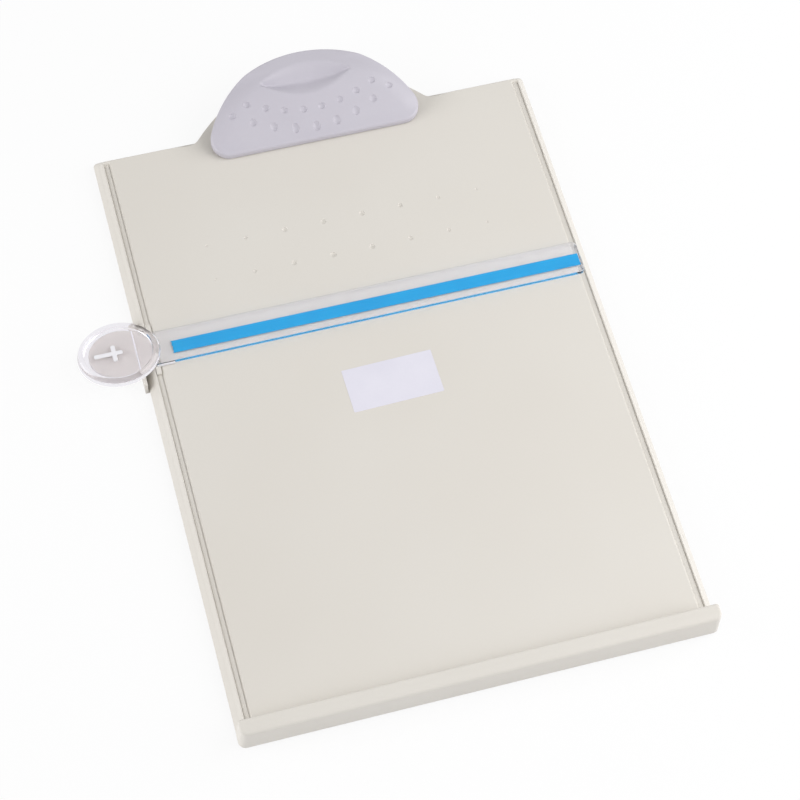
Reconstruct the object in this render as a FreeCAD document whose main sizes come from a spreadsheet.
"""Copy holder with a sliding line guide.

The board lies on its back.  +X runs to the right across the board, +Y runs up the board from the
paper ledge to the clip, and +Z points up out of the paper face.  The origin is the middle of the
underside of the long rubber foot, below the paper ledge.  All sizes are in millimetres.
"""
import FreeCAD
import Part
import Sketcher

import math
import os

# ---------------------------------------------------------------- driving sizes

DRIVING_SIZES = [
    ("plate_width", 213.2, "paper face between the two grooves"),
    ("board_length", 316.8, "ledge front to top edge"),
    ("board_depth", 8.0, "paper face to the rim that faces the desk"),
    ("side_draft", 4.0, "how far each side wall leans out at its foot"),
    ("plate_wall", 2.2, "wall under the paper face"),
    ("side_wall", 2.0, "wall at the sides"),
    ("groove_width", 3.1, "guide groove"),
    ("groove_depth", 1.8, "guide groove"),
    ("groove_floor", 1.8, "material left below a groove"),
    ("groove_end", 1.8, "top edge to the end of a groove"),
    ("groove_rib", 2.0, "backing rib inside a groove's inner edge"),
    ("rim_width", 0.9, "flat rim outside a groove"),
    ("board_corner", 4.5, "plan radius of the top corners"),
    ("ledge_rise", 9.5, "ledge above the paper face"),
    ("ledge_thickness", 7.9, "ledge front to back"),
    ("ledge_taper", 1.2, "how far each ledge end leans in at its top"),
    ("ledge_corner", 3.5, "plan radius of the front corners"),
    ("ledge_edge", 1.0, "radius along the ledge's top"),
    ("tab_width", 124.0, "tab behind the clip, at the top edge"),
    ("tab_reach", 30.2, "tab beyond the top edge"),
    ("tab_thickness", 3.5, "tab"),
    ("tab_blend", 8.0, "hollow corner where the tab leaves the top edge"),
    ("dimple_pitch", 20.0, "dimples across the board"),
    ("dimple_rows_gap", 20.0, "between the two rows of dimples"),
    ("dimple_width", 2.4, "dimple in the paper face"),
    ("dimple_depth", 0.4, "dimple in the paper face"),
    ("dimple_line", 228.0, "height up the board of the lower row of dimples"),
    ("foot_height", 2.0, "rubber feet"),
    ("foot_setback", 8.0, "ledge front to the middle of the long foot"),
    ("foot_length", 170.0, "long foot"),
    ("foot_width", 8.0, "long foot"),
    ("pad_width", 14.0, "round upper foot"),
    ("pad_spread", 160.0, "between the two upper feet"),
    ("pad_drop", 24.0, "top edge to the middle of an upper foot"),
    ("cover_wall", 1.6, "back cover"),
    ("cover_gap", 0.25, "back cover to side wall"),
    ("boss_width", 6.0, "screw boss"),
    ("boss_inset", 8.6, "groove's inner edge to a boss"),
    ("boss_first", 22.0, "origin to the lowest bosses"),
    ("boss_margin", 22.8, "top edge to the highest bosses"),
    ("screw_width", 2.6, "cover screw shank"),
    ("screw_head", 4.6, "cover screw head"),
    ("screw_head_depth", 1.0, "cover screw head"),
    ("fit_gap", 0.05, "radial clearance of pins and screws"),
    ("part_gap", 0.4, "clearance between pieces that pass each other"),
    ("jaw_width", 116.9, "clip jaw along its lip"),
    ("jaw_length", 45.8, "clip jaw, lip to thumb end"),
    ("jaw_setback", 13.8, "top edge to the lip"),
    ("jaw_corner", 8.0, "plan radius of the lip's two corners"),
    ("jaw_lip_rise", 3.3, "lip's upper edge above the paper face"),
    ("jaw_lip_gap", 0.25, "closed lip to the paper face"),
    ("jaw_lip_depth", 3.0, "lip front to back"),
    ("jaw_slope_length", 22.0, "straight slope, measured along the board"),
    ("jaw_slope_rise", 9.6, "straight slope, rise"),
    ("jaw_tail_rise", 3.7, "rise from the slope to the thumb end"),
    ("jaw_tail_radius", 47.0, "round back of the jaw"),
    ("jaw_wall", 3.2, "jaw wall"),
    ("pin_width", 3.0, "clip hinge pin"),
    ("pin_back", 21.0, "lip to the hinge pin"),
    ("pin_rise", 4.3, "hinge pin above the paper face"),
    ("jaw_ear_radius", 3.0, "jaw ear about the pin"),
    ("jaw_ear_inner", 22.8, "middle of the clip to a jaw ear"),
    ("jaw_ear_wall", 3.0, "jaw ear"),
    ("jaw_ear_root", 1.0, "jaw ear's root inside the jaw's wall"),
    ("bracket_wall", 1.0, "steel bracket"),
    ("bracket_ear_radius", 3.2, "bracket ear about the pin"),
    ("bracket_front", 8.0, "bracket ahead of the pin"),
    ("bracket_back", 13.0, "bracket behind the pin"),
    ("rivet_width", 3.0, "rivet shank"),
    ("rivet_head", 6.0, "rivet head"),
    ("rivet_head_depth", 1.0, "rivet head"),
    ("rivet_spread", 24.0, "between the two rivets"),
    ("rivet_back", 8.5, "pin to the rivets"),
    ("retainer_width", 6.0, "push-on ring on the pin's end"),
    ("retainer_wall", 0.8, "push-on ring"),
    ("pin_overhang", 1.0, "pin beyond its rings"),
    ("spring_wire", 0.9, "torsion spring"),
    ("spring_coil", 5.2, "torsion spring, middle of the wire across the coil"),
    ("spring_pitch", 1.0, "torsion spring"),
    ("spring_turns", 4.0, "whole turns"),
    ("spring_place", 17.5, "middle of the clip to a spring's outer end"),
    ("spring_leg", 9.0, "leg on the bracket"),
    ("spring_arm", 6.2, "leg under the jaw"),
    ("spring_arm_angle", 25.0, "leg under the jaw above the board's plane"),
    ("guide_front", 187.3, "origin to the line guide's front edge"),
    ("strip_width", 18.4, "clear strip"),
    ("strip_thickness", 3.0, "clear strip"),
    ("strip_gap", 0.8, "clear strip above the paper face"),
    ("strip_end_gap", 0.7, "strip's right end to the groove's outer wall"),
    ("strip_bevel", 2.2, "bevel along the back of the strip"),
    ("strip_corner", 2.4, "plan radius of the strip's right corners"),
    ("glide_depth", 1.2, "rib of the strip down into the right groove"),
    ("glide_wall", 0.8, "rib in the right groove"),
    ("glide_inset", 2.5, "rib's ends inside the strip's edges"),
    ("stripe_width", 6.6, "blue stripe"),
    ("stripe_front", 4.7, "strip's front edge to the stripe"),
    ("stripe_film", 0.15, "blue stripe"),
    ("stripe_left", 99.5, "middle of the board to the stripe's left end"),
    ("stripe_end", 0.1, "stripe's right end to the rib"),
    ("knob_length", 39.0, "oval thumb knob"),
    ("knob_width", 32.8, "oval thumb knob"),
    ("knob_height", 4.4, "oval thumb knob"),
    ("knob_rim", 3.2, "wall round the knob's hollow"),
    ("knob_floor", 1.8, "floor of the knob's hollow"),
    ("knob_lift", 1.6, "knob's underside above the paper face"),
    ("knob_outset", 10.1, "board's foot edge to the middle of the knob"),
    ("knob_offset", 9.6, "strip's front edge to the middle of the knob"),
    ("bond_gap", 0.02, "bond line between the knob and the strip"),
    ("cross_bar", 1.8, "raised cross, width of a bar"),
    ("cross_long", 14.0, "raised cross, bar across"),
    ("cross_short", 8.8, "raised cross, bar up the board"),
    ("cross_height", 0.5, "raised cross"),
    ("cross_shift", 5.5, "middle of the knob to the middle of the long bar"),
    ("cross_offset", 2.8, "middle of the long bar to the short bar"),
    ("cross_rise", 1.2, "middle of the knob to the long bar, up the board"),
    ("finger_plate", 2.6, "finger plate under the knob"),
    ("finger_rim", 2.8, "finger plate inside the knob's edge"),
    ("bridge_width", 14.0, "bridge over the side wall"),
    ("bridge_gap", 0.15, "bridge above the rim"),
    ("tongue_play", 0.4, "tongue to each wall of the groove"),
    ("tongue_length", 28.0, "tongue along the groove"),
    ("tongue_top", 0.5, "tongue's top above the paper face"),
    ("hook_length", 35.5, "hook along the board"),
    ("hook_wall", 1.6, "hook's upright"),
    ("hook_lip_wall", 1.0, "hook's lip under the rim"),
    ("hook_lip_reach", 3.2, "hook's lip beyond its upright"),
    ("hook_floor_gap", 0.4, "hook above the desk"),
    ("hook_flange", 7.2, "flange under the finger plate"),
    ("carriage_screw", 2.0, "carriage screw shank"),
    ("carriage_screw_head", 3.8, "carriage screw head"),
    ("carriage_screw_head_depth", 1.0, "carriage screw head"),
    ("carriage_screw_length", 3.4, "carriage screw shank"),
    ("carriage_screw_spread", 7.0, "between the two carriage screws"),
    ("pad_film", 0.5, "friction pad"),
    ("friction_length", 20.0, "friction pad"),
    ("friction_width", 2.2, "friction pad"),
    ("label_width", 45.3, "bare label"),
    ("label_height", 23.5, "bare label"),
    ("label_film", 0.12, "bare label"),
    ("label_line", 152.2, "origin to the middle of the label"),
    ("label_turn", 1.3, "degrees"),
    ("leg_length", 177.0, "stand leg, hinge to tip"),
    ("leg_tip_line", 10.0, "origin to the folded tip"),
    ("leg_tip_width", 80.0, "stand leg at its tip"),
    ("leg_top_width", 96.0, "stand leg at its hinge"),
    ("leg_thickness", 4.0, "stand leg"),
    ("leg_inset", 0.4, "folded leg above the rim"),
    ("leg_rim", 6.0, "border round the leg's hollows"),
    ("leg_hollow", 1.8, "depth of the leg's hollows"),
    ("leg_play", 0.8, "leg to its well"),
    ("barrel_width", 5.0, "leg's hinge barrel"),
    ("barrel_drop", 0.2, "barrel below the leg's outer face"),
    ("rod_width", 3.0, "stand hinge rod"),
    ("stop_reach", 5.5, "stop lug beyond the hinge"),
    ("stop_thickness", 2.1, "stop lug"),
    ("stop_width", 60.0, "stop lug"),
    ("hinge_room", 6.5, "well beyond the hinge"),
    ("well_wall", 1.0, "upstand round the leg's well"),
    ("hinge_ear_wall", 4.0, "cover's ear for the rod"),
    ("hinge_ear_radius", 2.7, "cover's ear about the rod"),
    ("tip_rubber", 5.0, "rubber tip of the leg"),
    ("notch_width", 18.0, "finger notch beside the leg"),
    ("notch_line", 34.0, "folded tip to the finger notch"),
]

doc = FreeCAD.newDocument("CopyHolder")
sheet = doc.addObject("Spreadsheet::Sheet", "Sizes")
for row, (alias, value, note) in enumerate(DRIVING_SIZES, start=1):
    sheet.set(f"A{row}", note)
    sheet.set(f"B{row}", str(value))
    sheet.setAlias(f"B{row}", alias)
doc.recompute()


class Size:
    """A number that remembers the sheet formula it comes from."""

    def __init__(self, value, formula):
        self.value = value
        self.formula = formula

    def __add__(self, other):
        other = as_size(other)
        return Size(self.value + other.value, f"({self.formula} + {other.formula})")

    def __radd__(self, other):
        return as_size(other) + self

    def __sub__(self, other):
        other = as_size(other)
        return Size(self.value - other.value, f"({self.formula} - {other.formula})")

    def __rsub__(self, other):
        return as_size(other) - self

    def __mul__(self, other):
        other = as_size(other)
        return Size(self.value * other.value, f"({self.formula} * {other.formula})")

    def __rmul__(self, other):
        return as_size(other) * self

    def __truediv__(self, other):
        other = as_size(other)
        return Size(self.value / other.value, f"({self.formula} / {other.formula})")

    def __neg__(self):
        return as_size(0) - self


def as_size(number):
    """Turns a plain number into a Size and leaves a Size as it is."""
    if isinstance(number, Size):
        return number
    return Size(float(number), str(number))


def cell(alias):
    """Reads a driving size from the sheet."""
    return Size(float(sheet.get(alias)), f"Sizes.{alias}")


size = {alias: cell(alias) for alias, _, _ in DRIVING_SIZES}


def bind(thing, prop, value):
    """Ties a property to its formula in the sheet."""
    thing.setExpression(prop, as_size(value).formula)


# ---------------------------------------------------------------- places worked out from the sizes

half_plate = size["plate_width"] / 2
half_grooves = half_plate + size["groove_width"]
half_face = half_grooves + size["rim_width"]
half_base = half_face + size["side_draft"]
half_ledge_top = half_base - size["ledge_taper"]

z_base = size["foot_height"]
z_face = z_base + size["board_depth"]
z_under_face = z_face - size["plate_wall"]
z_ledge_top = z_face + size["ledge_rise"]
z_cover_top = z_base + size["cover_wall"]

y_front = -size["foot_setback"]
y_ledge = y_front + size["ledge_thickness"]
y_top = y_front + size["board_length"]

boss_x = half_plate - size["boss_inset"]
boss_last = y_top - size["boss_margin"]
BOSS_ROWS = 4
DIMPLES_ACROSS = 8
boss_step = (boss_last - size["boss_first"]) / (BOSS_ROWS - 1)
screw_bore = size["screw_width"] / 2 + size["fit_gap"]

y_lip = y_top - size["jaw_setback"]
y_jaw_end = y_lip + size["jaw_length"]
y_pin = y_lip + size["pin_back"]
z_pin = z_face + size["pin_rise"]
pin_radius = size["pin_width"] / 2
pin_bore = pin_radius + size["fit_gap"]
y_rivet = y_pin + size["rivet_back"]
rivet_bore = size["rivet_width"] / 2 + size["fit_gap"]
bracket_ear_inner = size["jaw_ear_inner"] + size["jaw_ear_wall"] + size["part_gap"]
bracket_half = bracket_ear_inner + size["bracket_wall"]

y_strip = size["guide_front"]
z_strip = z_face + size["strip_gap"]
x_strip_end = half_grooves - size["strip_end_gap"]
x_knob = -(half_base + size["knob_outset"])
y_knob = y_strip + size["knob_offset"]
z_knob = z_face + size["knob_lift"]
x_hook_inner = -(half_base + size["part_gap"])
x_hook_outer = x_hook_inner - size["hook_wall"]
z_finger_plate = z_knob - size["finger_plate"]
z_hook = size["hook_floor_gap"]
z_hook_lip = z_hook + size["hook_lip_wall"]

y_hinge = size["leg_tip_line"] + size["leg_length"]
z_leg = z_base + size["leg_inset"]
z_hinge = z_leg - size["barrel_drop"] + size["barrel_width"] / 2
rod_bore = size["rod_width"] / 2 + size["fit_gap"]
y_leg_body = size["leg_tip_line"] + size["tip_rubber"]
half_tip = size["leg_tip_width"] / 2
half_leg_top = size["leg_top_width"] / 2
hinge_ear_inner = half_leg_top + size["part_gap"]
rod_half = hinge_ear_inner + size["hinge_ear_wall"]

# ---------------------------------------------------------------- sketch and feature helpers

# how a sketch counts the points of an edge
START, END, CENTRE = 1, 2, 3
# marks an arc that bulges into its outline
HOLLOW = "hollow"


def origin_plane(body, role):
    """Finds one of a body's own origin planes."""
    for feature in body.Origin.OriginFeatures:
        if feature.Role == role:
            return feature
    raise RuntimeError(f"no {role} in {body.Name}")


def new_body(label):
    """Starts a PartDesign body."""
    body = doc.addObject("PartDesign::Body", f"Body_{label}")
    body.Label = label
    return body


def new_sketch(body, name, role, offset=0):
    """Starts a sketch on an origin plane, moved along the plane's normal."""
    sketch = body.newObject("Sketcher::SketchObject", name)
    sketch.AttachmentSupport = [(origin_plane(body, role), "")]
    sketch.MapMode = "FlatFace"
    bind(sketch, "AttachmentOffset.Base.z", offset)
    return sketch


def arc_centre(start, end, radius):
    """Centre, to the left of the way from start to end, of the short arc between them."""
    dx, dy = end[0] - start[0], end[1] - start[1]
    chord = math.hypot(dx, dy)
    lift = math.sqrt(max(radius ** 2 - (chord / 2) ** 2, 0.0))
    return (start[0] + end[0]) / 2 - dy / chord * lift, (start[1] + end[1]) / 2 + dx / chord * lift


def add_arc(sketch, start, end, radius):
    """Draws the anticlockwise arc from start to end."""
    cx, cy = arc_centre(start, end, radius)
    circle = Part.Circle(FreeCAD.Vector(cx, cy, 0), FreeCAD.Vector(0, 0, 1), radius)
    first = math.atan2(start[1] - cy, start[0] - cx)
    last = math.atan2(end[1] - cy, end[0] - cx)
    if last <= first:
        last += 2 * math.pi
    return sketch.addGeometry(Part.ArcOfCircle(circle, first, last))


def add_outline(sketch, corners):
    """Draws a closed outline anticlockwise.

    Each corner is (x, y), or (x, y, radius) where the edge that leaves it is an arc that bulges
    out, or (x, y, radius, HOLLOW) where that arc bulges in.  Every corner and radius is tied to
    the sheet.  A half circle stands on a level chord, and its centre's height is tied in place of
    its radius.
    """
    count = len(corners)
    flat = [(as_size(c[0]).value, as_size(c[1]).value) for c in corners]
    edges = []
    half_turns = []
    for i, corner in enumerate(corners):
        start, end = flat[i], flat[(i + 1) % count]
        if len(corner) == 2:
            line = Part.LineSegment(FreeCAD.Vector(*start, 0), FreeCAD.Vector(*end, 0))
            edges.append((sketch.addGeometry(line), START, END))
            continue
        radius = as_size(corner[2])
        if corner[3:] == (HOLLOW,):
            edge = add_arc(sketch, end, start, radius.value)
            edges.append((edge, END, START))
        else:
            edge = add_arc(sketch, start, end, radius.value)
            edges.append((edge, START, END))
        if near(math.dist(start, end), 2 * radius):
            half_turns.append((edge, corner[1]))
        else:
            rule = sketch.addConstraint(Sketcher.Constraint("Radius", edge, radius.value))
            sketch.setExpression(f"Constraints[{rule}]", radius.formula)
    for i, (edge, _, finish) in enumerate(edges):
        following, begin, _ = edges[(i + 1) % count]
        sketch.addConstraint(Sketcher.Constraint("Coincident", edge, finish, following, begin))
    for (edge, begin, _), corner in zip(edges, corners):
        pin_point(sketch, edge, begin, corner[0], corner[1])
    for edge, level in half_turns:
        pin_coordinate(sketch, "DistanceY", edge, CENTRE, level)


def pin_point(sketch, edge, point, x, y):
    """Ties a sketch point's two coordinates to the sheet."""
    pin_coordinate(sketch, "DistanceX", edge, point, x)
    pin_coordinate(sketch, "DistanceY", edge, point, y)


def pin_coordinate(sketch, rule_name, edge, point, value):
    """Ties one coordinate of a sketch point to the sheet."""
    value = as_size(value)
    rule = Sketcher.Constraint(rule_name, -1, 1, edge, point, value.value)
    index = sketch.addConstraint(rule)
    sketch.setExpression(f"Constraints[{index}]", value.formula)


def add_rectangle(sketch, x0, x1, y0, y1):
    """Draws a rectangle between two corners."""
    add_outline(sketch, [(x0, y0), (x1, y0), (x1, y1), (x0, y1)])


def add_circle(sketch, x, y, radius):
    """Draws a circle tied to the sheet."""
    x, y, radius = as_size(x), as_size(y), as_size(radius)
    circle = Part.Circle(FreeCAD.Vector(x.value, y.value, 0), FreeCAD.Vector(0, 0, 1), radius.value)
    edge = sketch.addGeometry(circle)
    rule = sketch.addConstraint(Sketcher.Constraint("Radius", edge, radius.value))
    sketch.setExpression(f"Constraints[{rule}]", radius.formula)
    pin_point(sketch, edge, CENTRE, x, y)


def add_feature(body, kind, name, sketch, length, flipped=False, through=False, both_ways=False):
    """Adds a Pad or Pocket of a sketch."""
    feature = body.newObject(f"PartDesign::{kind}", name)
    feature.Profile = sketch
    feature.Reversed = flipped
    if both_ways:
        feature.SideType = "Symmetric"
    if through:
        feature.Type = "ThroughAll"
    else:
        bind(feature, "Length", length)
    sketch.Visibility = False
    return feature


def repeat_along(body, name, originals, sketch, axis, step, count):
    """Repeats features in a row along one of a sketch's axes."""
    pattern = body.newObject("PartDesign::LinearPattern", name)
    pattern.Originals = originals
    pattern.Direction = (sketch, [axis])
    pattern.Mode = "Spacing"
    bind(pattern, "Offset", step)
    pattern.Occurrences = count
    body.Tip = pattern
    return pattern


def mirror_across(body, name, originals):
    """Repeats features on the other side of the middle plane."""
    mirrored = body.newObject("PartDesign::Mirrored", name)
    mirrored.Originals = originals
    mirrored.MirrorPlane = (origin_plane(body, "YZ_Plane"), [""])
    body.Tip = mirrored
    return mirrored


def dress_edges(body, kind, name, picks):
    """Adds a Fillet or Chamfer on those edges of the body's tip that the test picks."""
    doc.recompute()
    tip = body.Tip
    names = []
    for index, edge in enumerate(tip.Shape.Edges, start=1):
        middle = edge.valueAt((edge.FirstParameter + edge.LastParameter) / 2)
        if picks(edge, middle):
            names.append(f"Edge{index}")
    feature = body.newObject(f"PartDesign::{kind}", name)
    feature.Base = (tip, names)
    return feature


def round_edges(body, name, radius, picks):
    """Rounds those edges of the body's tip that the test picks."""
    bind(dress_edges(body, "Fillet", name, picks), "Radius", radius)


def near(a, b, tolerance=0.01):
    """True where two numbers agree."""
    return abs(a - as_size(b).value) < tolerance


def place(thing, x, y, z):
    """Ties an object's place to the sheet."""
    for axis, value in zip("xyz", (x, y, z)):
        bind(thing, f"Placement.Base.{axis}", value)


def box(name, x0, x1, y0, y1, z0, z1):
    """A box between two corners."""
    solid = doc.addObject("Part::Box", name)
    bind(solid, "Length", as_size(x1) - x0)
    bind(solid, "Width", as_size(y1) - y0)
    bind(solid, "Height", as_size(z1) - z0)
    place(solid, x0, y0, z0)
    return solid


def upright_cylinder(name, radius, x, y, z0, z1):
    """A cylinder standing along +Z."""
    solid = doc.addObject("Part::Cylinder", name)
    bind(solid, "Radius", radius)
    bind(solid, "Height", as_size(z1) - z0)
    place(solid, x, y, z0)
    return solid


def cross_cylinder(name, radius, x0, x1, y, z):
    """A cylinder lying along +X."""
    solid = doc.addObject("Part::Cylinder", name)
    bind(solid, "Radius", radius)
    bind(solid, "Height", as_size(x1) - x0)
    solid.Placement.Rotation = FreeCAD.Rotation(FreeCAD.Vector(0, 1, 0), 90)
    place(solid, x0, y, z)
    return solid


def oval_prism(name, half_length, half_width, x, y, z0, z1):
    """An upright prism on an oval."""
    oval = doc.addObject("Part::Ellipse", f"{name}_outline")
    bind(oval, "MajorRadius", half_length)
    bind(oval, "MinorRadius", half_width)
    place(oval, x, y, z0)
    prism = doc.addObject("Part::Extrusion", name)
    prism.Base = oval
    prism.DirMode = "Custom"
    prism.Dir = FreeCAD.Vector(0, 0, 1)
    prism.Solid = True
    bind(prism, "LengthFwd", as_size(z1) - z0)
    return prism


def cut(name, base, tool):
    """Takes one shape out of another."""
    result = doc.addObject("Part::Cut", name)
    result.Base = base
    result.Tool = tool
    return result


def fuse(name, pieces):
    """Joins shapes into one solid."""
    result = doc.addObject("Part::MultiFuse", name)
    result.Shapes = pieces
    result.Refine = True
    return result


def group(name, pieces):
    """Keeps separate solids together as one sub-part."""
    result = doc.addObject("Part::Compound", name)
    result.Links = pieces
    return result


nodes = {}


def node(label, thing):
    """Names a finished sub-part."""
    thing.Label = label
    nodes[label] = thing
    return thing


# ---------------------------------------------------------------- board


def make_board_front():
    """Front shell: paper face with its grooves, leaning side walls, paper ledge, tab and bosses."""
    body = new_body("board_front")

    ledge_ends = new_sketch(body, "ledge_ends", "XZ_Plane", -y_front)
    add_outline(ledge_ends, [(-half_base, z_base), (half_base, z_base),
                             (half_ledge_top, z_ledge_top), (-half_ledge_top, z_ledge_top)])
    add_feature(body, "Pad", "ledge", ledge_ends, size["ledge_thickness"], flipped=True)
    round_edges(body, "ledge_corners", size["ledge_corner"],
                lambda edge, mid: near(mid.y, y_front) and abs(mid.x) > half_plate.value)
    round_edges(body, "ledge_top", size["ledge_edge"],
                lambda edge, mid: near(mid.z, z_ledge_top))

    walls = new_sketch(body, "wall_slopes", "XZ_Plane", -(y_ledge - size["ledge_thickness"] / 2))
    add_outline(walls, [(-half_base, z_base), (half_base, z_base), (half_face, z_face),
                        (-half_face, z_face)])
    add_feature(body, "Pad", "board", walls, y_top - y_ledge + size["ledge_thickness"] / 2,
                flipped=True)
    round_edges(body, "board_corners", size["board_corner"],
                lambda edge, mid: near(mid.y, y_top) and abs(mid.x) > half_grooves.value)

    half_tab = size["tab_width"] / 2
    tab_radius = (half_tab * half_tab + size["tab_reach"] * size["tab_reach"]) / (
        2 * size["tab_reach"])
    tab_plan = new_sketch(body, "tab_plan", "XY_Plane", z_face - size["tab_thickness"])
    y_tab_root = y_top - size["side_wall"]
    add_outline(tab_plan, [(-half_tab, y_tab_root), (half_tab, y_tab_root),
                           (half_tab, y_top, tab_radius), (-half_tab, y_top)])
    add_feature(body, "Pad", "tab", tab_plan, size["tab_thickness"])
    round_edges(body, "tab_hollows", size["tab_blend"],
                lambda edge, mid: near(abs(mid.x), half_tab) and near(mid.y, y_top)
                and near(edge.Length, size["tab_thickness"]))

    inside_base = half_base - size["side_wall"]
    z_rib = z_face - size["groove_depth"] - size["groove_floor"]
    inside_rib = inside_base - size["side_draft"] * (z_rib - z_base) / size["board_depth"]
    inside_plate = half_plate - size["groove_rib"]
    hollow = new_sketch(body, "hollow_section", "XZ_Plane", -(y_front + size["side_wall"]))
    add_outline(hollow, [(-inside_base, z_base), (inside_base, z_base), (inside_rib, z_rib),
                         (inside_plate, z_rib), (inside_plate, z_under_face),
                         (-inside_plate, z_under_face), (-inside_plate, z_rib),
                         (-inside_rib, z_rib)])
    add_feature(body, "Pocket", "hollow", hollow, size["board_length"] - 2 * size["side_wall"])

    ledge_inside = half_ledge_top - size["side_wall"]
    ledge_hollow = new_sketch(body, "ledge_hollow_plan", "XY_Plane", z_base)
    add_rectangle(ledge_hollow, -ledge_inside, ledge_inside, y_front + size["side_wall"],
                  y_ledge - size["side_wall"])
    add_feature(body, "Pocket", "ledge_hollow", ledge_hollow,
                z_ledge_top - size["plate_wall"] - z_base, flipped=True)

    grooves = new_sketch(body, "groove_plan", "XY_Plane", z_face)
    y_groove_end = y_top - size["groove_end"]
    add_rectangle(grooves, half_plate, half_grooves, y_ledge, y_groove_end)
    add_rectangle(grooves, -half_grooves, -half_plate, y_ledge, y_groove_end)
    add_feature(body, "Pocket", "grooves", grooves, size["groove_depth"])

    bosses = new_sketch(body, "boss_plan", "XY_Plane", z_cover_top)
    pilots = new_sketch(body, "pilot_plan", "XY_Plane", z_cover_top)
    for side in (-1, 1):
        add_circle(bosses, side * boss_x, size["boss_first"], size["boss_width"] / 2)
        add_circle(pilots, side * boss_x, size["boss_first"], screw_bore)
    boss_height = z_under_face - z_cover_top
    boss_pad = add_feature(body, "Pad", "boss", bosses, boss_height)
    boss_hole = add_feature(body, "Pocket", "pilot_hole", pilots, boss_height, flipped=True)
    doc.recompute()
    repeat_along(body, "boss_rows", [boss_pad, boss_hole], bosses, "V_Axis", boss_step, BOSS_ROWS)

    rivet_holes = new_sketch(body, "rivet_hole_plan", "XY_Plane", z_face)
    for side in (-1, 1):
        add_circle(rivet_holes, side * size["rivet_spread"] / 2, y_rivet, rivet_bore)
    add_feature(body, "Pocket", "rivet_holes", rivet_holes, size["tab_thickness"])

    dimples = new_sketch(body, "dimple_plan", "XY_Plane", z_face)
    first_dimple = -size["dimple_pitch"] * (DIMPLES_ACROSS - 1) / 2
    for line in (size["dimple_line"], size["dimple_line"] + size["dimple_rows_gap"]):
        add_circle(dimples, first_dimple, line, size["dimple_width"] / 2)
    dimple = add_feature(body, "Pocket", "dimple", dimples, size["dimple_depth"])
    doc.recompute()
    repeat_along(body, "dimple_rows", [dimple], dimples, "H_Axis", size["dimple_pitch"],
                 DIMPLES_ACROSS)
    return node("board_front", body)


def add_ear(body, name, x_inner, wall, radius, y, z_axis, z_root):
    """An ear on the right: round about an axis along X, with its root above or below it."""
    plan = new_sketch(body, f"{name}_outline", "YZ_Plane", x_inner)
    if z_root.value > z_axis.value:
        corners = [(y - radius, z_axis, radius), (y + radius, z_axis),
                   (y + radius, z_root), (y - radius, z_root)]
    else:
        corners = [(y - radius, z_root), (y + radius, z_root), (y + radius, z_axis, radius),
                   (y - radius, z_axis)]
    add_outline(plan, corners)
    return add_feature(body, "Pad", name, plan, wall)


def bore_across(body, name, radius, y, z):
    """A hole along X through everything in its way."""
    plan = new_sketch(body, f"{name}_outline", "YZ_Plane")
    add_circle(plan, y, z, radius)
    add_feature(body, "Pocket", name, plan, None, through=True, both_ways=True)


def leg_plan_corners(margin, y_low, y_high):
    """Plan of the tapered stand leg, or of the well round it, between two lines."""
    slope = (half_leg_top - half_tip) / size["leg_length"]
    low = half_tip + slope * (y_low - size["leg_tip_line"]) + margin
    high = half_tip + slope * (y_high - size["leg_tip_line"]) + margin
    return [(-low, y_low), (low, y_low), (high, y_high), (-high, y_high)]


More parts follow.
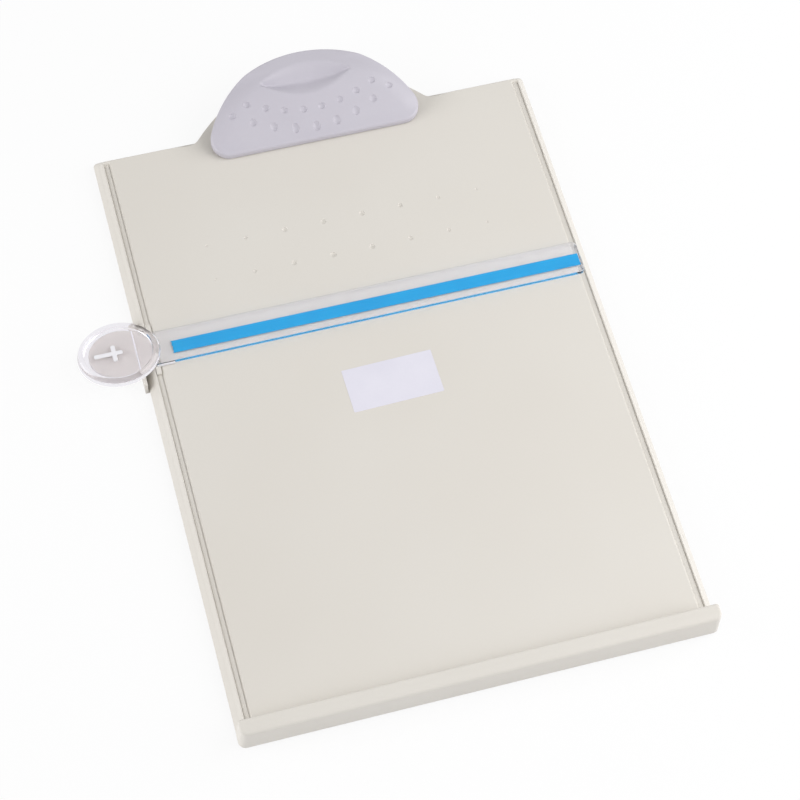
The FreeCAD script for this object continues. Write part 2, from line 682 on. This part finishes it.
def make_back_cover():
    """Flat cover inside the rim, with the well, hinge ears and finger notch of the stand leg."""
    body = new_body("back_cover")
    cover_slope = size["side_draft"] * size["cover_wall"] / size["board_depth"]
    half_cover = half_base - size["side_wall"] - cover_slope - size["cover_gap"]
    y_low = y_front + size["side_wall"] + size["cover_gap"]
    y_high = y_top - size["side_wall"] - size["cover_gap"]
    panel = new_sketch(body, "cover_plan", "XY_Plane", z_base)
    add_rectangle(panel, -half_cover, half_cover, y_low, y_high)
    add_feature(body, "Pad", "panel", panel, size["cover_wall"])

    well_low = size["leg_tip_line"] - size["leg_play"]
    well_high = y_hinge + size["hinge_room"]
    z_wall_top = z_under_face - size["part_gap"]
    upstand = new_sketch(body, "upstand_plan", "XY_Plane", z_cover_top)
    wall = size["leg_play"] + size["well_wall"]
    add_outline(upstand, leg_plan_corners(wall, well_low - size["well_wall"],
                                          well_high + size["well_wall"]))
    add_feature(body, "Pad", "upstand", upstand, z_wall_top - z_cover_top)
    well = new_sketch(body, "well_plan", "XY_Plane", z_base)
    add_outline(well, leg_plan_corners(size["leg_play"], well_low, well_high))
    add_feature(body, "Pocket", "well", well, z_wall_top - z_base, flipped=True)

    ear = add_ear(body, "hinge_ear", hinge_ear_inner, size["hinge_ear_wall"],
                  size["hinge_ear_radius"], y_hinge, z_hinge, z_base)
    doc.recompute()
    mirror_across(body, "hinge_ears", [ear])
    rod_hole = new_sketch(body, "rod_hole_outline", "YZ_Plane", -rod_half)
    add_circle(rod_hole, y_hinge, z_hinge, rod_bore)
    add_feature(body, "Pocket", "rod_hole", rod_hole, 2 * rod_half, flipped=True)

    notch = new_sketch(body, "notch_plan", "XY_Plane", z_base)
    notch_y = size["leg_tip_line"] + size["notch_line"]
    add_circle(notch, half_tip + size["leg_play"], notch_y, size["notch_width"] / 2)
    add_feature(body, "Pocket", "finger_notch", notch, z_wall_top - z_base, flipped=True)

    shank_plan = new_sketch(body, "shank_hole_plan", "XY_Plane", z_base)
    head_plan = new_sketch(body, "head_recess_plan", "XY_Plane", z_base)
    for side in (-1, 1):
        add_circle(shank_plan, side * boss_x, size["boss_first"], screw_bore)
        add_circle(head_plan, side * boss_x, size["boss_first"],
                   size["screw_head"] / 2 + size["fit_gap"])
    shank_hole = add_feature(body, "Pocket", "shank_hole", shank_plan, size["cover_wall"],
                             flipped=True)
    head_recess = add_feature(body, "Pocket", "head_recess", head_plan, size["screw_head_depth"],
                              flipped=True)
    doc.recompute()
    repeat_along(body, "screw_rows", [shank_hole, head_recess], shank_plan, "V_Axis", boss_step,
                 BOSS_ROWS)
    return node("back_cover", body)


def make_cover_screws():
    """Eight screws up through the cover into the bosses."""
    screws = []
    for row in range(BOSS_ROWS):
        for side, hand in ((-1, "left"), (1, "right")):
            y = size["boss_first"] + boss_step * row
            name = f"cover_screw_{hand}_{row + 1}"
            z_head_top = z_base + size["screw_head_depth"]
            head = upright_cylinder(f"{name}_head", size["screw_head"] / 2, side * boss_x, y,
                                    z_base, z_head_top)
            shank = upright_cylinder(f"{name}_shank", size["screw_width"] / 2, side * boss_x, y,
                                     z_base, z_under_face - size["part_gap"])
            screws.append(fuse(name, [head, shank]))
    return node("cover_screws", group("cover_screws", screws))


def make_feet():
    """Long rubber foot under the ledge and two round pads near the top."""
    half_foot = size["foot_length"] / 2
    node("foot_strip", box("foot_strip", -half_foot, half_foot, -size["foot_width"] / 2,
                           size["foot_width"] / 2, 0, z_base))
    pads = []
    for side, hand in ((-1, "left"), (1, "right")):
        pads.append(upright_cylinder(f"upper_foot_{hand}", size["pad_width"] / 2,
                                     side * size["pad_spread"] / 2, y_top - size["pad_drop"],
                                     0, z_base))
    node("upper_feet", group("upper_feet", pads))


def make_name_label():
    """Bare paper label on the paper face, stuck on slightly turned."""
    label = doc.addObject("Part::Box", "name_label")
    bind(label, "Length", size["label_width"])
    bind(label, "Width", size["label_height"])
    bind(label, "Height", size["label_film"])
    turn = FreeCAD.Rotation(FreeCAD.Vector(0, 0, 1), size["label_turn"].value)
    label.Placement = FreeCAD.Placement(FreeCAD.Vector(), turn)
    angle = size["label_turn"].formula
    bind(label, "Placement.Rotation.Angle", size["label_turn"])
    half_w, half_h = size["label_width"] / 2, size["label_height"] / 2
    cos_turn = Size(math.cos(math.radians(size["label_turn"].value)), f"cos({angle} * 1deg)")
    sin_turn = Size(math.sin(math.radians(size["label_turn"].value)), f"sin({angle} * 1deg)")
    place(label, half_h * sin_turn - half_w * cos_turn,
          size["label_line"] - half_w * sin_turn - half_h * cos_turn, z_face)
    return node("name_label", label)


# ---------------------------------------------------------------- clip


def make_clip_jaw():
    """Sprung jaw: a sloping lip that rises to a round thumb end, with two hinge ears below."""
    body = new_body("clip_jaw")
    half_jaw = size["jaw_width"] / 2
    jaw_radius = (half_jaw * half_jaw + size["jaw_length"] * size["jaw_length"]) / (
        2 * size["jaw_length"])
    z_lip = z_face + size["jaw_lip_gap"]
    z_lip_top = z_face + size["jaw_lip_rise"]
    y_knee = y_lip + size["jaw_slope_length"]
    z_knee = z_lip_top + size["jaw_slope_rise"]
    z_tail = z_knee + size["jaw_tail_rise"]
    headroom = 3 * size["jaw_wall"]

    plan = new_sketch(body, "jaw_plan", "XY_Plane", z_lip)
    add_outline(plan, [(-half_jaw, y_lip), (half_jaw, y_lip, jaw_radius)])
    add_feature(body, "Pad", "blank", plan, z_tail + headroom - z_lip)
    round_edges(body, "lip_corners", size["jaw_corner"],
                lambda edge, mid: near(mid.y, y_lip) and near(abs(mid.x), half_jaw))

    above = new_sketch(body, "above_jaw", "YZ_Plane")
    z_ceiling = z_tail + 2 * headroom
    y_past = y_jaw_end + headroom
    add_outline(above, [(y_lip - headroom, z_lip_top), (y_lip, z_lip_top),
                        (y_knee, z_knee, size["jaw_tail_radius"], HOLLOW), (y_jaw_end, z_tail),
                        (y_past, z_tail), (y_past, z_ceiling), (y_lip - headroom, z_ceiling)])
    add_feature(body, "Pocket", "top_face", above, None, through=True, both_ways=True)

    slope = size["jaw_slope_rise"] / size["jaw_slope_length"]
    y_inside = y_lip + size["jaw_lip_depth"]
    z_inside = z_lip_top + slope * size["jaw_lip_depth"] - size["jaw_wall"]
    below = new_sketch(body, "below_jaw", "YZ_Plane")
    z_floor = z_lip - headroom
    add_outline(below, [(y_inside, z_floor), (y_past, z_floor), (y_past, z_tail - size["jaw_wall"]),
                        (y_jaw_end, z_tail - size["jaw_wall"]),
                        (y_knee, z_knee - size["jaw_wall"]),
                        (y_inside, z_inside)])
    add_feature(body, "Pocket", "under_face", below, None, through=True, both_ways=True)

    ear = add_ear(body, "jaw_ear", size["jaw_ear_inner"], size["jaw_ear_wall"],
                  size["jaw_ear_radius"], y_pin, z_pin,
                  z_knee - size["jaw_wall"] + size["jaw_ear_root"])
    doc.recompute()
    mirror_across(body, "jaw_ears", [ear])
    bore_across(body, "jaw_bore", pin_bore, y_pin, z_pin)
    return node("clip_jaw", body)


def make_clip_bracket():
    """Steel bracket on the tab, with an ear at each end for the hinge pin."""
    body = new_body("clip_bracket")
    plan = new_sketch(body, "bracket_plan", "XY_Plane", z_face)
    add_rectangle(plan, -bracket_half, bracket_half, y_pin - size["bracket_front"],
                  y_pin + size["bracket_back"])
    add_feature(body, "Pad", "bracket_base", plan, size["bracket_wall"])
    ear = add_ear(body, "bracket_ear", bracket_ear_inner, size["bracket_wall"],
                  size["bracket_ear_radius"], y_pin, z_pin, z_face)
    doc.recompute()
    mirror_across(body, "bracket_ears", [ear])
    bore_across(body, "bracket_bore", pin_bore, y_pin, z_pin)
    holes = new_sketch(body, "bracket_rivet_plan", "XY_Plane", z_face)
    for side in (-1, 1):
        add_circle(holes, side * size["rivet_spread"] / 2, y_rivet, rivet_bore)
    add_feature(body, "Pocket", "bracket_rivet_holes", holes, size["bracket_wall"], flipped=True)
    return node("clip_bracket", body)


def make_clip_rivets():
    """Two rivets that hold the bracket to the tab."""
    z_tab_under = z_face - size["tab_thickness"]
    z_bracket_top = z_face + size["bracket_wall"]
    rivets = []
    for side, hand in ((-1, "left"), (1, "right")):
        x = side * size["rivet_spread"] / 2
        shank = upright_cylinder(f"rivet_{hand}_shank", size["rivet_width"] / 2, x, y_rivet,
                                 z_tab_under, z_bracket_top)
        top = upright_cylinder(f"rivet_{hand}_top", size["rivet_head"] / 2, x, y_rivet,
                               z_bracket_top, z_bracket_top + size["rivet_head_depth"])
        bottom = upright_cylinder(f"rivet_{hand}_bottom", size["rivet_head"] / 2, x, y_rivet,
                                  z_tab_under - size["rivet_head_depth"], z_tab_under)
        rivets.append(fuse(f"rivet_{hand}", [shank, top, bottom]))
    return node("clip_rivets", group("clip_rivets", rivets))


def make_clip_pin():
    """Hinge pin through the bracket's and the jaw's ears, with a push-on ring at each end."""
    ring_inner = bracket_half + size["fit_gap"]
    ring_outer = ring_inner + size["retainer_wall"]
    half_pin = ring_outer + size["pin_overhang"]
    node("clip_hinge_pin", cross_cylinder("clip_hinge_pin", pin_radius, -half_pin, half_pin,
                                          y_pin, z_pin))
    rings = []
    for hand, x0, x1 in (("left", -ring_outer, -ring_inner), ("right", ring_inner, ring_outer)):
        disc = cross_cylinder(f"ring_{hand}_disc", size["retainer_width"] / 2, x0, x1, y_pin, z_pin)
        hole = cross_cylinder(f"ring_{hand}_hole", pin_bore, x0, x1, y_pin, z_pin)
        rings.append(cut(f"ring_{hand}", disc, hole))
    node("clip_pin_rings", group("clip_pin_rings", rings))


def make_clip_spring(label, side):
    """Torsion spring round the pin: one leg lies on the bracket, the other lifts the jaw's tail."""
    coil_radius = size["spring_coil"].value / 2
    wire_radius = size["spring_wire"].value / 2
    pitch = size["spring_pitch"].value
    arm_angle = math.radians(size["spring_arm_angle"].value)
    turns = size["spring_turns"].value + 0.5 - arm_angle / (2 * math.pi)
    length = turns * pitch

    climb = pitch / (2 * math.pi)
    start_point = FreeCAD.Vector(coil_radius, 0, 0)
    start_way = FreeCAD.Vector(0, coil_radius, climb)
    end = 2 * math.pi * turns
    end_point = FreeCAD.Vector(coil_radius * math.cos(end), coil_radius * math.sin(end), length)
    end_way = FreeCAD.Vector(-coil_radius * math.sin(end), coil_radius * math.cos(end), climb)

    helix = Part.makeHelix(pitch, length, coil_radius)
    section = Part.Wire(Part.makeCircle(wire_radius, start_point, start_way))
    coil = Part.Wire(helix).makePipeShell([section], True, True)
    leg = Part.makeCylinder(wire_radius, size["spring_leg"].value, start_point, -start_way)
    arm = Part.makeCylinder(wire_radius, size["spring_arm"].value, end_point, end_way)
    shape = coil.multiFuse([leg, arm])

    coil_axes = FreeCAD.Rotation(FreeCAD.Vector(0, 0, -1), FreeCAD.Vector(0, -1, 0),
                                 FreeCAD.Vector(-1, 0, 0), "XYZ")
    outer_end = FreeCAD.Vector(size["spring_place"].value, 0, 0)
    shape = shape.transformed(FreeCAD.Placement(outer_end, coil_axes).toMatrix(), copy=True)
    if side < 0:
        shape = shape.mirror(FreeCAD.Vector(0, 0, 0), FreeCAD.Vector(1, 0, 0))
    spring = doc.addObject("Part::Feature", label)
    spring.Shape = shape
    place(spring, 0, y_pin, z_pin)
    return node(label, spring)


# ---------------------------------------------------------------- line guide


def make_guide_strip():
    """Clear strip across the page, bevelled along its back, with a rib in the right groove."""
    body = new_body("guide_strip_blank")
    y_back = y_strip + size["strip_width"]
    plan = new_sketch(body, "strip_plan", "XY_Plane", z_strip)
    add_rectangle(plan, x_knob, x_strip_end, y_strip, y_back)
    add_feature(body, "Pad", "slab", plan, size["strip_thickness"])
    round_edges(body, "strip_corners", size["strip_corner"],
                lambda edge, mid: near(mid.x, x_strip_end) and near(mid.z, z_strip
                                                                    + size["strip_thickness"] / 2))
    z_top = z_strip + size["strip_thickness"]
    bevel = dress_edges(body, "Chamfer", "back_bevel",
                        lambda edge, mid: near(mid.z, z_top) and near(mid.y, y_back))
    bind(bevel, "Size", size["strip_bevel"])

    rib = new_sketch(body, "rib_plan", "XY_Plane", z_face - size["glide_depth"])
    add_rectangle(rib, x_strip_end - size["glide_wall"], x_strip_end,
                  y_strip + size["glide_inset"], y_back - size["glide_inset"])
    add_feature(body, "Pad", "glide_rib", rib, z_strip - z_face + size["glide_depth"])

    seat = oval_prism("knob_seat", size["knob_length"] / 2 + size["bond_gap"],
                      size["knob_width"] / 2 + size["bond_gap"], x_knob, y_knob,
                      z_face, z_knob + size["knob_height"])
    return node("guide_strip", cut("guide_strip", body, seat))


def make_guide_stripe():
    """Blue film stuck under the strip."""
    y0 = y_strip + size["stripe_front"]
    return node("guide_stripe", box("guide_stripe", -size["stripe_left"],
                                    x_strip_end - size["glide_wall"] - size["stripe_end"], y0,
                                    y0 + size["stripe_width"], z_strip - size["stripe_film"],
                                    z_strip))


def make_thumb_knob():
    """Clear oval knob with a shallow hollow for the fingertip."""
    outer = oval_prism("knob_outer", size["knob_length"] / 2, size["knob_width"] / 2, x_knob,
                       y_knob, z_knob, z_knob + size["knob_height"])
    hollow = oval_prism("knob_hollow", size["knob_length"] / 2 - size["knob_rim"],
                        size["knob_width"] / 2 - size["knob_rim"], x_knob, y_knob,
                        z_knob + size["knob_floor"], z_knob + size["knob_height"])
    return node("thumb_knob", cut("thumb_knob", outer, hollow))


def make_knob_cross():
    """Raised white cross on the floor of the knob's hollow."""
    z0 = z_knob + size["knob_floor"]
    z1 = z0 + size["cross_height"]
    half_bar = size["cross_bar"] / 2
    x_long = x_knob - size["cross_shift"]
    y_long = y_knob + size["cross_rise"]
    x_short = x_long + size["cross_offset"]
    across = box("cross_across", x_long - size["cross_long"] / 2, x_long + size["cross_long"] / 2,
                 y_long - half_bar, y_long + half_bar, z0, z1)
    up = box("cross_up", x_short - half_bar, x_short + half_bar,
             y_long - size["cross_short"] / 2, y_long + size["cross_short"] / 2, z0, z1)
    return node("knob_cross", fuse("knob_cross", [across, up]))


def carriage_screw_places():
    """Where the two carriage screws stand."""
    x = x_hook_outer - size["hook_flange"] / 2
    spread = size["carriage_screw_spread"] / 2
    return [("lower", x, y_knob - spread), ("upper", x, y_knob + spread)]


def make_guide_carriage():
    """Finger plate under the knob, a bridge over the side wall and a tongue in the left groove."""
    oval = oval_prism("finger_oval", size["knob_length"] / 2 - size["finger_rim"],
                      size["knob_width"] / 2 - size["finger_rim"], x_knob, y_knob,
                      z_finger_plate, z_knob)
    outboard = box("finger_side", x_knob - size["knob_length"], x_hook_inner,
                   y_knob - size["knob_width"], y_knob + size["knob_width"],
                   z_finger_plate, z_knob)
    plate = doc.addObject("Part::Common", "finger_plate")
    plate.Base = oval
    plate.Tool = outboard
    tongue_outer = -(half_grooves - size["tongue_play"])
    tongue_inner = -(half_plate + size["tongue_play"])
    bridge = box("carriage_bridge", x_hook_inner, tongue_inner,
                 y_knob - size["bridge_width"] / 2, y_knob + size["bridge_width"] / 2,
                 z_face + size["bridge_gap"], z_knob)
    tongue = box("carriage_tongue", tongue_outer, tongue_inner,
                 y_knob - size["tongue_length"] / 2, y_knob + size["tongue_length"] / 2,
                 z_face - size["groove_depth"] + size["part_gap"], z_face + size["tongue_top"])
    blank = fuse("carriage_blank", [plate, bridge, tongue])
    holes = []
    for name, x, y in carriage_screw_places():
        z_tip = z_finger_plate - size["hook_wall"] + size["carriage_screw_length"]
        holes.append(upright_cylinder(f"carriage_hole_{name}",
                                      size["carriage_screw"] / 2 + size["fit_gap"], x, y,
                                      z_finger_plate, z_tip + size["fit_gap"]))
    return node("guide_carriage", cut("guide_carriage", blank, fuse("carriage_holes", holes)))


def make_carriage_hook():
    """Hook that runs down the board's side and under its rim, screwed to the finger plate."""
    y0 = y_knob - size["hook_length"] / 2
    y1 = y_knob + size["hook_length"] / 2
    upright = box("hook_upright", x_hook_outer, x_hook_inner, y0, y1, z_hook, z_finger_plate)
    lip = box("hook_lip", x_hook_outer, x_hook_inner + size["hook_lip_reach"], y0, y1, z_hook,
              z_hook_lip)
    flange = box("hook_flange_plate", x_hook_outer - size["hook_flange"], x_hook_outer,
                 y_knob - size["bridge_width"] / 2, y_knob + size["bridge_width"] / 2,
                 z_finger_plate - size["hook_wall"], z_finger_plate)
    blank = fuse("hook_blank", [upright, lip, flange])
    holes = []
    for name, x, y in carriage_screw_places():
        holes.append(upright_cylinder(f"hook_hole_{name}",
                                      size["carriage_screw"] / 2 + size["fit_gap"], x, y,
                                      z_finger_plate - size["hook_wall"], z_finger_plate))
    return node("carriage_hook", cut("carriage_hook", blank, fuse("hook_holes", holes)))


def make_carriage_screws():
    """Two screws that hold the hook to the finger plate."""
    screws = []
    for name, x, y in carriage_screw_places():
        z_seat = z_finger_plate - size["hook_wall"]
        head = upright_cylinder(f"carriage_screw_{name}_head", size["carriage_screw_head"] / 2,
                                x, y, z_seat - size["carriage_screw_head_depth"], z_seat)
        shank = upright_cylinder(f"carriage_screw_{name}_shank", size["carriage_screw"] / 2, x, y,
                                 z_seat, z_seat + size["carriage_screw_length"])
        screws.append(fuse(f"carriage_screw_{name}", [head, shank]))
    return node("carriage_screws", group("carriage_screws", screws))


def make_friction_pad():
    """Rubber pad on the hook's lip that rubs on the rim and holds the guide where it is put."""
    x1 = x_hook_inner + size["hook_lip_reach"]
    half = size["friction_length"] / 2
    return node("friction_pad", box("friction_pad", x1 - size["friction_width"], x1,
                                    y_knob - half, y_knob + half, z_hook_lip,
                                    z_hook_lip + size["pad_film"]))


# ---------------------------------------------------------------- stand


def make_stand_leg():
    """Tapered leaf that folds out behind the board, with a hinge barrel and a stop lug."""
    body = new_body("stand_leg")
    plan = new_sketch(body, "leg_plan", "XY_Plane", z_leg)
    add_outline(plan, leg_plan_corners(as_size(0), y_leg_body, y_hinge))
    add_feature(body, "Pad", "leaf", plan, size["leg_thickness"])

    barrel = new_sketch(body, "barrel_outline", "YZ_Plane")
    add_circle(barrel, y_hinge, z_hinge, size["barrel_width"] / 2)
    add_feature(body, "Pad", "barrel", barrel, size["leg_top_width"], both_ways=True)

    lug = new_sketch(body, "lug_outline", "YZ_Plane")
    add_rectangle(lug, y_hinge, y_hinge + size["stop_reach"], z_leg,
                  z_leg + size["stop_thickness"])
    add_feature(body, "Pad", "stop_lug", lug, size["stop_width"], both_ways=True)
    bore_across(body, "leg_bore", rod_bore, y_hinge, z_hinge)

    hollows = new_sketch(body, "hollow_plan", "XY_Plane", z_leg)
    inner = size["leg_rim"] / 2
    outer = half_tip - size["leg_rim"]
    y_low = y_leg_body + size["leg_rim"]
    y_high = y_hinge - size["barrel_width"] - size["leg_rim"]
    add_rectangle(hollows, inner, outer, y_low, y_high)
    add_rectangle(hollows, -outer, -inner, y_low, y_high)
    add_feature(body, "Pocket", "hollows", hollows, size["leg_hollow"], flipped=True)
    return node("stand_leg", body)


def make_stand_hinge_rod():
    """Steel rod through the cover's ears and the leg's barrel."""
    return node("stand_hinge_rod", cross_cylinder("stand_hinge_rod", size["rod_width"] / 2,
                                                  -rod_half, rod_half, y_hinge, z_hinge))


def make_leg_tip():
    """Rubber bar on the end of the leg."""
    return node("leg_tip", box("leg_tip", -half_tip, half_tip, size["leg_tip_line"], y_leg_body,
                               z_leg, z_leg + size["leg_thickness"]))


# ---------------------------------------------------------------- whole object

make_board_front()
make_back_cover()
make_cover_screws()
make_feet()
make_name_label()
make_clip_jaw()
make_clip_bracket()
make_clip_rivets()
make_clip_pin()
make_clip_spring("clip_spring_left", -1)
make_clip_spring("clip_spring_right", 1)
make_guide_strip()
make_guide_stripe()
make_thumb_knob()
make_knob_cross()
make_guide_carriage()
make_carriage_hook()
make_carriage_screws()
make_friction_pad()
make_stand_leg()
make_stand_hinge_rod()
make_leg_tip()
doc.recompute()

for thing in doc.Objects:
    bad_state = [state for state in thing.State if state in ("Invalid", "Error")]
    if bad_state:
        raise RuntimeError(f"{thing.Label}: {bad_state} {thing.getStatusString()}")
for label, thing in nodes.items():
    if thing.Shape.isNull() or not thing.Shape.isValid():
        raise RuntimeError(f"{label} has no valid shape")

os.makedirs("parts", exist_ok=True)
for label, thing in nodes.items():
    thing.Shape.exportStep(os.path.join("parts", f"{label}.step"))
    bounds = thing.Shape.BoundBox
    print(f"{label}: {len(thing.Shape.Solids)} solid(s), {thing.Shape.Volume:.0f} mm3, "
          f"z {bounds.ZMin:.2f} to {bounds.ZMax:.2f}")
